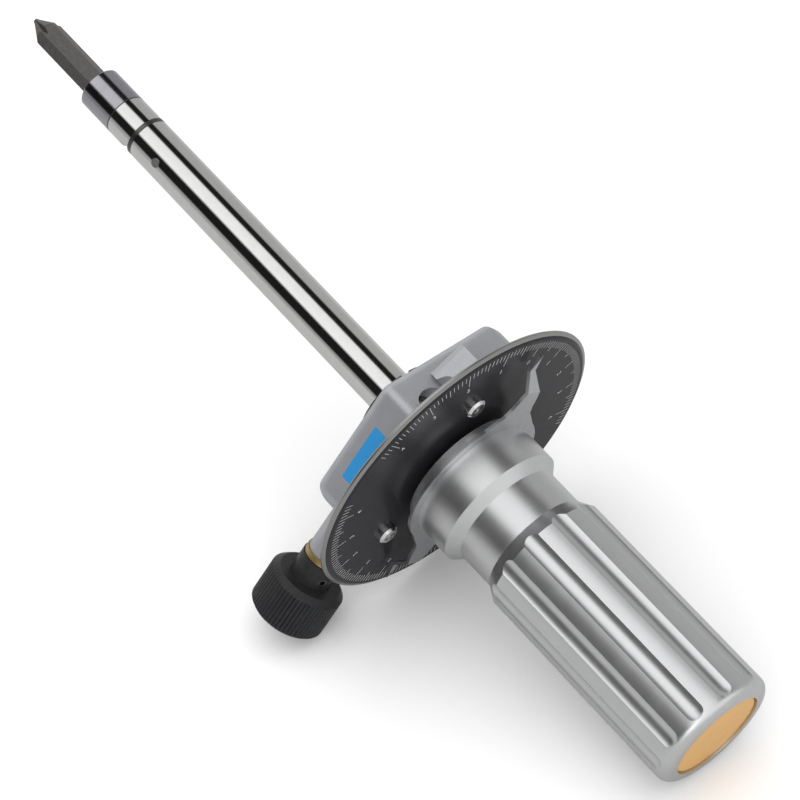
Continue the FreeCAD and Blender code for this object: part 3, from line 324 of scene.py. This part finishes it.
@dataclass(frozen=True)
class TurnedMetal:
    """Turned metal with fine marks round the tool's axis."""

    colour: Colour
    shade: Colour
    roughness: float
    spread: float = 0.10
    marks: float = 0.18
    pitch: float = 9.0

    def dress(self, shader: Shader) -> None:
        """Builds the finish."""
        marks = shader.rings(self.pitch, 4.0)
        cloud = shader.noise(0.22, 3.0)
        shader.set(Base_Color=shader.mix(cloud * 0.6 + marks * 0.4, self.shade, self.colour), Metallic=1.0,
                   Roughness=marks * self.spread + cloud * 0.06 + self.roughness - 0.5 * self.spread)
        shader.bump(marks, self.marks, 0.012)


@dataclass(frozen=True)
class PlainMetal:
    """Metal with faint clouds and a fine grain."""

    colour: Colour
    shade: Colour
    roughness: float
    grain: float = 6.0
    relief: float = 0.1

    def dress(self, shader: Shader) -> None:
        """Builds the finish."""
        cloud = shader.noise(0.9, 3.0)
        grain = shader.noise(self.grain, 2.0)
        shader.set(Base_Color=shader.mix(cloud, self.shade, self.colour), Metallic=1.0,
                   Roughness=grain * 0.12 + self.roughness - 0.06)
        shader.bump(grain, self.relief, 0.02)


@dataclass(frozen=True)
class SandBlasted:
    """A sand-blasted casting with a cloudy, pitted tone."""

    colour: Colour = (0.56, 0.57, 0.60)
    shade: Colour = (0.34, 0.35, 0.37)
    roughness: float = 0.46

    def dress(self, shader: Shader) -> None:
        """Builds the finish."""
        cloud = shader.noise(0.16, 4.0)
        pits = shader.noise(2.6, 4.0)
        speckle = shader.noise(5.5, 1.0)
        tone = cloud * 0.55 + pits * 0.45
        shader.set(Base_Color=shader.mix(tone, self.shade, self.colour), Metallic=0.75,
                   Roughness=speckle * 0.2 + self.roughness - 0.1)
        shader.bump(pits * 0.6 + speckle * 0.4, 0.6, 0.12)


@dataclass(frozen=True)
class DialFace:
    """A black lacquered face inside a bare bevelled rim, on bare metal behind."""

    black: Colour = (0.022, 0.021, 0.024)
    bare: Colour = (0.42, 0.42, 0.41)
    face_radius: float = 39.15
    face_height: float = -0.15

    def dress(self, shader: Shader) -> None:
        """Builds the finish."""
        _, _, height = shader.axes()
        inside = (shader.radius() < self.face_radius) * (height > self.face_height)
        dust = shader.noise(1.6, 4.0)
        fleck = shader.noise(7.0, 1.0)
        marks = shader.rings(8.0, 3.0)
        lacquer = shader.mix(dust * 0.30, self.black, (0.05, 0.049, 0.054))
        metal = shader.mix(marks, (0.33, 0.33, 0.32), self.bare)
        shader.set(Base_Color=shader.mix(inside, metal, lacquer), Metallic=1.0 - inside,
                   Roughness=inside * (fleck * 0.08 - 0.14) + 0.34, Specular_IOR_Level=0.12)
        shader.bump(fleck, 0.05, 0.02)


@dataclass(frozen=True)
class BlackAnodised:
    """Black anodised aluminium with faint random wear."""

    colour: Colour = (0.012, 0.012, 0.013)
    worn: Colour = (0.045, 0.045, 0.048)
    roughness: float = 0.36

    def dress(self, shader: Shader) -> None:
        """Builds the finish."""
        cloud = shader.noise(0.8, 3.0)
        grain = shader.noise(6.0, 2.0)
        shader.set(Base_Color=shader.mix(cloud * grain, self.colour, self.worn), Metallic=0.0,
                   Roughness=grain * 0.16 + self.roughness - 0.08)
        shader.set(Specular_IOR_Level=0.22)
        shader.bump(grain, 0.2, 0.03)


@dataclass(frozen=True)
class Paint:
    """A thin layer of paint, ink or film."""

    colour: Colour
    shade: Colour
    roughness: float = 0.45
    grain: float = 3.0

    def dress(self, shader: Shader) -> None:
        """Builds the finish."""
        cloud = shader.noise(self.grain, 3.0)
        shader.set(Base_Color=shader.mix(cloud, self.shade, self.colour),
                   Roughness=cloud * 0.12 + self.roughness - 0.06)
        shader.bump(cloud, 0.05, 0.02)


class Finish(Enum):
    """Every finish on the tool."""

    CHROME = Chrome()
    DARK_STEEL = PlainMetal((0.17, 0.165, 0.16), (0.085, 0.08, 0.08), 0.34, 4.0, 0.2)
    BRIGHT_STEEL = PlainMetal((0.88, 0.88, 0.87), (0.76, 0.76, 0.76), 0.20)
    HOLDER_STEEL = TurnedMetal((0.60, 0.60, 0.59), (0.46, 0.46, 0.46), 0.20)
    SLEEVE_STEEL = Chrome((0.46, 0.46, 0.49), (0.36, 0.36, 0.39), 0.12)
    SATIN_ALUMINIUM = TurnedMetal((0.74, 0.745, 0.75), (0.64, 0.645, 0.65), 0.30)
    POINTER_SHEET = PlainMetal((0.62, 0.63, 0.64), (0.52, 0.53, 0.54), 0.30, 3.0, 0.15)
    CASTING = SandBlasted()
    BRASS = TurnedMetal((0.62, 0.46, 0.20), (0.45, 0.32, 0.13), 0.28)
    DIAL = DialFace()
    KNOB = BlackAnodised()
    END_DISC = Paint((0.72, 0.42, 0.14), (0.62, 0.34, 0.10), 0.42, 0.9)
    WHITE_PRINT = Paint((0.62, 0.62, 0.62), (0.42, 0.42, 0.42), 0.5, 2.0)
    BLUE_FILM = Paint((0.006, 0.25, 0.58), (0.005, 0.22, 0.52), 0.45, 1.2)


class Dresser:
    """Makes each finish's material once and puts it on pieces."""

    def __init__(self, tool: ToolFrame) -> None:
        """Keeps the tool's axes for the patterns."""
        self.tool = tool
        self.made: dict[Finish, bpy.types.Material] = {}

    def material(self, finish: Finish) -> bpy.types.Material:
        """The material of a finish."""
        if finish not in self.made:
            shader = Shader(finish.name.lower(), self.tool)
            finish.value.dress(shader)
            self.made[finish] = shader.material
        return self.made[finish]

    def dress(self, piece: bpy.types.Object, finish: Finish) -> None:
        """Gives every slot of a piece one finish."""
        material = self.material(finish)
        if not piece.material_slots:
            piece.data.materials.append(material)
        for slot in piece.material_slots:
            slot.material = material


NODE_FINISHES: dict[Finish, tuple[str, ...]] = {
    Finish.CHROME: ("shaft_tube", "bit_socket"),
    Finish.SLEEVE_STEEL: ("holder_sleeve",),
    Finish.DARK_STEEL: ("hex_bit", "torsion_bar", "shaft_circlip", "anchor_screw", "knob_set_screw",
                        "retaining_ring", "front_ring", "worm_end_bush"),
    Finish.HOLDER_STEEL: ("socket_clip", "spacer_tube", "torsion_anchor", "anchor_nut"),
    Finish.BRIGHT_STEEL: ("cross_pin", "socket_ball", "socket_magnet", "wheel_pin", "dial_screw_1",
                          "dial_screw_2", "dial_screw_3", "worm_shaft"),
    Finish.SATIN_ALUMINIUM: ("handle", "pointer_hub"),
    Finish.POINTER_SHEET: ("pointer_plate",),
    Finish.CASTING: ("housing_casting",),
    Finish.BRASS: ("worm_wheel", "thrust_washer", "front_bush", "brass_bush", "handle_bush"),
    Finish.DIAL: ("dial_plate",),
    Finish.KNOB: ("knob",),
    Finish.END_DISC: ("end_disc",),
}


def dress_nodes(frame: dict[str, Any], dresser: Dresser) -> None:
    """Gives every node of the construction its finish.

    Args:
        frame: The loaded frame.
        dresser: The maker of the materials.
    """
    for finish, names in NODE_FINISHES.items():
        for name in names:
            dresser.dress(frame["nodes"][name], finish)
            LOG.info("%s dressed as %s", name, finish.name.lower())


# ---------------------------------------------------------------- pieces of print and film

def mesh_piece(name: str, build: Callable[[bmesh.types.BMesh], None]) -> bpy.types.Object:
    """Makes an object from a function that fills a bmesh.

    Args:
        name: The object's name.
        build: Fills the bmesh.

    Returns:
        The object, linked to the scene.
    """
    mesh = bpy.data.meshes.new(name)
    work = bmesh.new()
    build(work)
    bmesh.ops.recalc_face_normals(work, faces=work.faces)
    work.to_mesh(mesh)
    work.free()
    piece = bpy.data.objects.new(name, mesh)
    bpy.context.scene.collection.objects.link(piece)
    return piece


@dataclass
class DialPrint:
    """Graduations and plain figures on the dial's face, in tool millimetres."""

    tool: ToolFrame
    dresser: Dresser
    outer_radius: float = 37.8
    fine_length: float = 1.9
    middle_length: float = 2.9
    long_length: float = 4.3
    line_width: float = 0.13
    face_height: float = 0.3
    layer: float = 0.03
    zero_angles: tuple[float, float] = (0.0, 180.0)
    step: float = 1.8
    span: int = 87
    middle_every: int = 5
    long_every: int = 10
    figure_span: int = 40
    figure_radius: float = 31.6
    figure_size: float = 1.9
    pieces: list[bpy.types.Object] = field(default_factory=list)

    def build(self) -> None:
        """Makes the graduations and the figures and lets them ride on the housing."""
        self.pieces.append(mesh_piece("dial_graduations", self._graduations))
        self.pieces.extend(self._figures())
        for piece in self.pieces:
            self.tool.place(piece)
            self.dresser.dress(piece, Finish.WHITE_PRINT)
            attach(piece, "housing")
        LOG.info("dial print: %d pieces", len(self.pieces))

    def _graduations(self, work: bmesh.types.BMesh) -> None:
        """Adds a thin bar for each graduation, to both sides of the zero marks."""
        for index in range(-self.span // 2, self.span // 2 + 1):
            length = self.fine_length
            if index % self.middle_every == 0:
                length = self.middle_length
            if index % self.long_every == 0:
                length = self.long_length
            for zero in self.zero_angles:
                self._bar(work, zero + index * self.step, length)

    def _bar(self, work: bmesh.types.BMesh, angle: float, length: float) -> None:
        """Adds one thin bar that ends at the outer radius.

        Args:
            work: The bmesh.
            angle: The bar's direction from the knob's side, in degrees.
            length: Its length.
        """
        size = Matrix.Diagonal((length, self.line_width, self.layer, 1.0))
        shift = Matrix.Translation((self.outer_radius - 0.5 * length, 0.0,
                                    self.face_height + 0.5 * self.layer))
        turn = Matrix.Rotation(math.radians(angle), 4, "Z")
        bmesh.ops.create_cube(work, size=1.0, matrix=turn @ shift @ size)

    def _figures(self) -> list[bpy.types.Object]:
        """Makes the plain numbers beside every second long graduation.

        Returns:
            The number pieces.
        """
        made = []
        for zero_index, zero in enumerate(self.zero_angles):
            for index in range(-self.figure_span, self.figure_span + 1, self.long_every):
                angle = math.radians(zero + index * self.step)
                curve = bpy.data.curves.new("figure", "FONT")
                curve.body = str(abs(index) // self.long_every)
                curve.size = self.figure_size
                curve.align_x = "CENTER"
                curve.align_y = "CENTER"
                curve.extrude = 0.5 * self.layer
                curve.resolution_u = 3
                text = bpy.data.objects.new("figure", curve)
                bpy.context.scene.collection.objects.link(text)
                mesh = bpy.data.meshes.new_from_object(text.evaluated_get(
                    bpy.context.evaluated_depsgraph_get()))
                bpy.data.objects.remove(text)
                name = f"dial_figure_{zero_index + 1}_{(index + self.figure_span) // self.long_every + 1}"
                piece = bpy.data.objects.new(name, mesh)
                bpy.context.scene.collection.objects.link(piece)
                where = Vector((math.cos(angle), math.sin(angle), 0.0)) * self.figure_radius
                where.z = self.face_height + 0.5 * self.layer
                mesh.transform(Matrix.Translation(where)
                               @ Matrix.Rotation(angle - math.pi / 2, 4, "Z"))
                made.append(piece)
        return made


@dataclass
class LabelField:
    """The plain blue field on the casting's flat, in tool millimetres."""

    tool: ToolFrame
    dresser: Dresser
    flat_distance: float = 20.0
    width: float = 15.6
    middle: float = 5.2
    front: float = -13.0
    back: float = -3.2
    layer: float = 0.05

    def build(self) -> None:
        """Makes the film and lets it ride on the housing."""
        piece = mesh_piece("label_field", self._film)
        self.tool.place(piece)
        self.dresser.dress(piece, Finish.BLUE_FILM)
        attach(piece, "housing")
        LOG.info("label field made")

    def _film(self, work: bmesh.types.BMesh) -> None:
        """Adds the thin rectangular slab."""
        height = self.back - self.front
        size = Matrix.Diagonal((self.width, self.layer, height, 1.0))
        where = (self.middle, -self.flat_distance - 0.5 * self.layer, 0.5 * (self.front + self.back))
        bmesh.ops.create_cube(work, size=1.0, matrix=Matrix.Translation(where) @ size)


@dataclass
class CrossBit:
    """The hexagonal bit with its ground cross point, in tool millimetres."""

    tool: ToolFrame
    dresser: Dresser
    tip: float = -BIT_REACH
    length: float = 44.98
    flats: float = 6.33
    hex_turn: float = 15.0
    flute_turn: float = 60.0
    flute_root: float = 0.5
    flute_length: float = 8.5
    cone_length: float = 5.8
    cone_radius: float = 3.1
    nose_radius: float = 0.8
    segments: int = 144
    steps: int = 48

    def build(self) -> None:
        """Makes the bit and puts it in the place of its plain solid."""
        piece = mesh_piece("cross_bit", self._skin)
        self.tool.place(piece)
        self.dresser.dress(piece, Finish.DARK_STEEL)
        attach(piece, "shaft")
        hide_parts("hex_bit")
        LOG.info("bit made")

    def _blank(self, angle: float, along: float) -> float:
        """Radius of the turned and milled blank at an angle, at a distance behind the tip."""
        from_flat = math.radians((angle - self.hex_turn + 30.0) % 60.0 - 30.0)
        hexagon = 0.5 * self.flats / math.cos(math.pi / 6 - abs(from_flat))
        if along < 0.1 * self.cone_length:
            share = along / (0.1 * self.cone_length)
            cone = self.nose_radius * (0.75 + 0.25 * share)
        else:
            share = (along - 0.1 * self.cone_length) / (0.7 * self.cone_length)
            cone = self.nose_radius + (self.cone_radius - self.nose_radius) * share
        return min(hexagon, cone)

    def _radius(self, angle: float, along: float) -> float:
        """Radius of the finished bit: the blank less four flutes with a right-angled section."""
        aside = math.radians((angle - self.flute_turn + 45.0) % 90.0 - 45.0)
        depth = self.flute_root + (0.6 * self.flats - self.flute_root) * along / self.flute_length
        opening = math.cos(aside) - abs(math.sin(aside))
        flute = depth / opening if opening > 1e-4 else math.inf
        return min(self._blank(angle, along), flute)

    def _skin(self, work: bmesh.types.BMesh) -> None:
        """Adds rings of points from the tip to the rear end, joined by faces."""
        point_length = 1.4 * self.flute_length
        places = [point_length * step / self.steps for step in range(self.steps + 1)]
        places.append(self.length)
        rings = []
        for along in places:
            ring = []
            for step in range(self.segments):
                angle = 360.0 * step / self.segments
                radius = self._radius(angle, along)
                turn = math.radians(angle)
                ring.append(work.verts.new((radius * math.cos(turn), radius * math.sin(turn),
                                            self.tip + along)))
            rings.append(ring)
        for near, far in zip(rings, rings[1:]):
            for step in range(self.segments):
                after = (step + 1) % self.segments
                work.faces.new((near[step], near[after], far[after], far[step]))
        work.faces.new(list(reversed(rings[0])))
        work.faces.new(rings[-1])


@dataclass
class GapShadowRings:
    """Thin dark rings as a painted shadow in the gaps of the bit holder, in tool millimetres."""

    tool: ToolFrame
    dresser: Dresser
    places: tuple[float, ...] = (-125.83,)
    inner_radius: float = 5.5
    outer_radius: float = 5.73
    width: float = 0.32

    def build(self) -> None:
        """Makes each painted-shadow ring and lets it ride on the shaft."""
        for number, place in enumerate(self.places, start=1):
            piece = mesh_piece(f"gap_shadow_ring_{number}", lambda work: self._ring(work, place))
            self.tool.place(piece)
            # Dark steel here is a painted shadow in the gap between sleeve and collar.
            self.dresser.dress(piece, Finish.DARK_STEEL)
            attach(piece, "shaft")

    def _ring(self, work: bmesh.types.BMesh, place: float) -> None:
        """Spins a small rectangle round the tool's axis."""
        half = 0.5 * self.width
        corners = [(self.inner_radius, place - half), (self.outer_radius, place - half),
                   (self.outer_radius, place + half), (self.inner_radius, place + half)]
        points = [work.verts.new((radius, 0.0, height)) for radius, height in corners]
        edges = [work.edges.new((points[i], points[(i + 1) % 4])) for i in range(4)]
        bmesh.ops.spin(work, geom=points + edges, cent=(0, 0, 0), axis=(0, 0, 1), angle=2 * math.pi,
                       steps=96, use_merge=True)


# ---------------------------------------------------------------- studio

@dataclass
class Studio:
    """Floor, lamps, light tent, world and camera round the tool."""

    tool: ToolFrame
    camera_place: tuple[float, float, float] = (-337.87, -584.28, 247.48)
    camera_right: tuple[float, float, float] = (-0.49935, 0.58276, 0.64112)
    camera_down: tuple[float, float, float] = (0.73130, -0.11331, 0.67258)
    lens: float = 139.7
    ambient_level: float = 0.80
    background_level: float = 1.0
    floor_size: float = 6.0
    floor_gap: float = 0.0003
    floor_colour: Colour = (0.93, 0.93, 0.93)
    # The floor's colour as glossy rays see it: a painted shade, darker than the floor itself.
    floor_mirrored: Colour = (0.50, 0.50, 0.50)
    facing: float = -120.0
    tent_radius: float = 700.0
    tent_ends: tuple[float, float] = (-1000.0, 500.0)
    tent_bands: tuple[tuple[float, float], ...] = (
        (-180.0, 0.46), (-74.0, 0.40), (-66.0, 0.012), (-44.0, 0.012), (-35.0, 0.90), (12.0, 1.0),
        (22.0, 0.012), (58.0, 0.012), (68.0, 0.38), (180.0, 0.46))
    tent_strength: float = 1.15

    def build(self) -> None:
        """Makes the whole studio."""
        self._world()
        self._floor()
        self._lamps()
        self._tent()
        self._camera()
        bpy.context.scene.view_settings.view_transform = "Standard"
        LOG.info("studio ready")

    def _world(self) -> None:
        """A plain pale world that is white to the camera and in mirrors."""
        world = bpy.data.worlds.new("studio")
        bpy.context.scene.world = world
        world.use_nodes = True
        tree = world.node_tree
        back = tree.nodes["Background"]
        back.inputs["Color"].default_value = (1.0, 1.0, 1.0, 1.0)
        path = tree.nodes.new("ShaderNodeLightPath")
        seen = tree.nodes.new("ShaderNodeMath")
        seen.operation = "MAXIMUM"
        tree.links.new(path.outputs["Is Camera Ray"], seen.inputs[0])
        tree.links.new(path.outputs["Is Glossy Ray"], seen.inputs[1])
        level = tree.nodes.new("ShaderNodeMapRange")
        level.inputs["To Min"].default_value = self.ambient_level
        level.inputs["To Max"].default_value = self.background_level
        tree.links.new(seen.outputs[0], level.inputs["Value"])
        tree.links.new(level.outputs[0], back.inputs["Strength"])

    def _floor(self) -> None:
        """The pale floor under the tool, which glossy rays see in a darker grey as a painted shade."""
        low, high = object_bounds()
        middle = (low + high) / 2
        floor = mesh_piece("floor", lambda work: bmesh.ops.create_grid(
            work, x_segments=1, y_segments=1, size=self.floor_size,
            matrix=Matrix.Translation((middle.x, middle.y, low.z - self.floor_gap))))
        material = bpy.data.materials.new("floor")
        material.use_nodes = True
        surface = material.node_tree.nodes["Principled BSDF"]
        tree = material.node_tree
        path = tree.nodes.new("ShaderNodeLightPath")
        tone = tree.nodes.new("ShaderNodeMix")
        tone.data_type = "RGBA"
        tone.inputs[6].default_value = (*self.floor_colour, 1.0)
        tone.inputs[7].default_value = (*self.floor_mirrored, 1.0)
        # Painted shade: glossy rays see the floor darker, so the metals mirror grey instead of white.
        tree.links.new(path.outputs["Is Glossy Ray"], tone.inputs[0])
        tree.links.new(tone.outputs[2], surface.inputs["Base Color"])
        surface.inputs["Roughness"].default_value = 0.9
        surface.inputs["Specular IOR Level"].default_value = 0.1
        floor.data.materials.append(material)
        floor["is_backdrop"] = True

    def _lamp(self, name: str, place: tuple[float, float, float], target: tuple[float, float, float],
              size: tuple[float, float], energy: float) -> None:
        """Adds one soft lamp.

        Args:
            name: The lamp's name.
            place: Where it hangs, on the tool's axes, in millimetres.
            target: Where it points, likewise.
            size: Width and height in metres.
            energy: Its power in watts.
        """
        light = bpy.data.lights.new(name, "AREA")
        light.shape = "RECTANGLE"
        light.size, light.size_y = size
        light.energy = energy
        lamp = bpy.data.objects.new(name, light)
        bpy.context.scene.collection.objects.link(lamp)
        lamp.location = self.tool.point(*place)
        aim = self.tool.point(*target) - lamp.location
        lamp.rotation_mode = "QUATERNION"
        lamp.rotation_quaternion = aim.to_track_quat("-Z", "Y")

    def _lamps(self) -> None:
        """A big overhead lamp and a soft one beside the camera."""
        self._lamp("overhead", (-700.0, -450.0, -200.0), (0.0, 0.0, -20.0), (1.0, 1.0), 3.6)
        self._lamp("near_side", (-150.0, -800.0, 300.0), (0.0, 0.0, 0.0), (0.8, 0.8), 2.4)

    def _tent(self) -> None:
        """A light tent round the tool that only mirrors see: white, grey and black cloth in bands."""
        low, high = self.tent_ends
        tent = mesh_piece("tent", lambda work: bmesh.ops.create_cone(
            work, segments=96, radius1=self.tent_radius, radius2=self.tent_radius, depth=high - low,
            matrix=Matrix.Translation((0.0, 0.0, 0.5 * (low + high)))))
        self.tool.place(tent)
        shader = Shader("tent", self.tool)
        x, y, _ = shader.axes()
        turn = math.radians(self.facing)
        across = y * math.cos(turn) - x * math.sin(turn)
        towards = x * math.cos(turn) + y * math.sin(turn)
        angle = shader.maths("ARCTAN2", across, towards) * (0.5 / math.pi) + 0.5
        stops = [((place + 180.0) / 360.0, (tone, tone, tone)) for place, tone in self.tent_bands]
        cloth = shader.node("Emission", Color=shader.ramp(angle, stops), Strength=self.tent_strength)
        tree = shader.tree
        tree.links.new(cloth.outputs[0], tree.nodes["Material Output"].inputs["Surface"])
        tent.data.materials.append(shader.material)
        tent.visible_camera = False
        tent.visible_diffuse = False
        tent.visible_shadow = False
        tent.visible_transmission = False
        tent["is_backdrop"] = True

    def _camera(self) -> None:
        """The camera."""
        data = bpy.data.cameras.new("camera")
        data.lens = self.lens
        data.sensor_width = 36.0
        camera = bpy.data.objects.new("camera", data)
        bpy.context.scene.collection.objects.link(camera)
        right = self.tool.direction(*self.camera_right)
        up = -self.tool.direction(*self.camera_down)
        turn = Matrix((right, up, right.cross(up))).transposed()
        camera.matrix_world = Matrix.Translation(self.tool.point(*self.camera_place)) @ turn.to_4x4()
        bpy.context.scene.camera = camera


def main() -> None:
    """Builds the scene."""
    logging.basicConfig(level=logging.INFO, format="%(name)s: %(message)s")
    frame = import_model()
    tool = ToolFrame(frame)
    dresser = Dresser(tool)
    Studio(tool).build()
    dress_nodes(frame, dresser)
    DialPrint(tool, dresser).build()
    LabelField(tool, dresser).build()
    CrossBit(tool, dresser).build()
    GapShadowRings(tool, dresser).build()


if __name__ == "__main__":
    main()
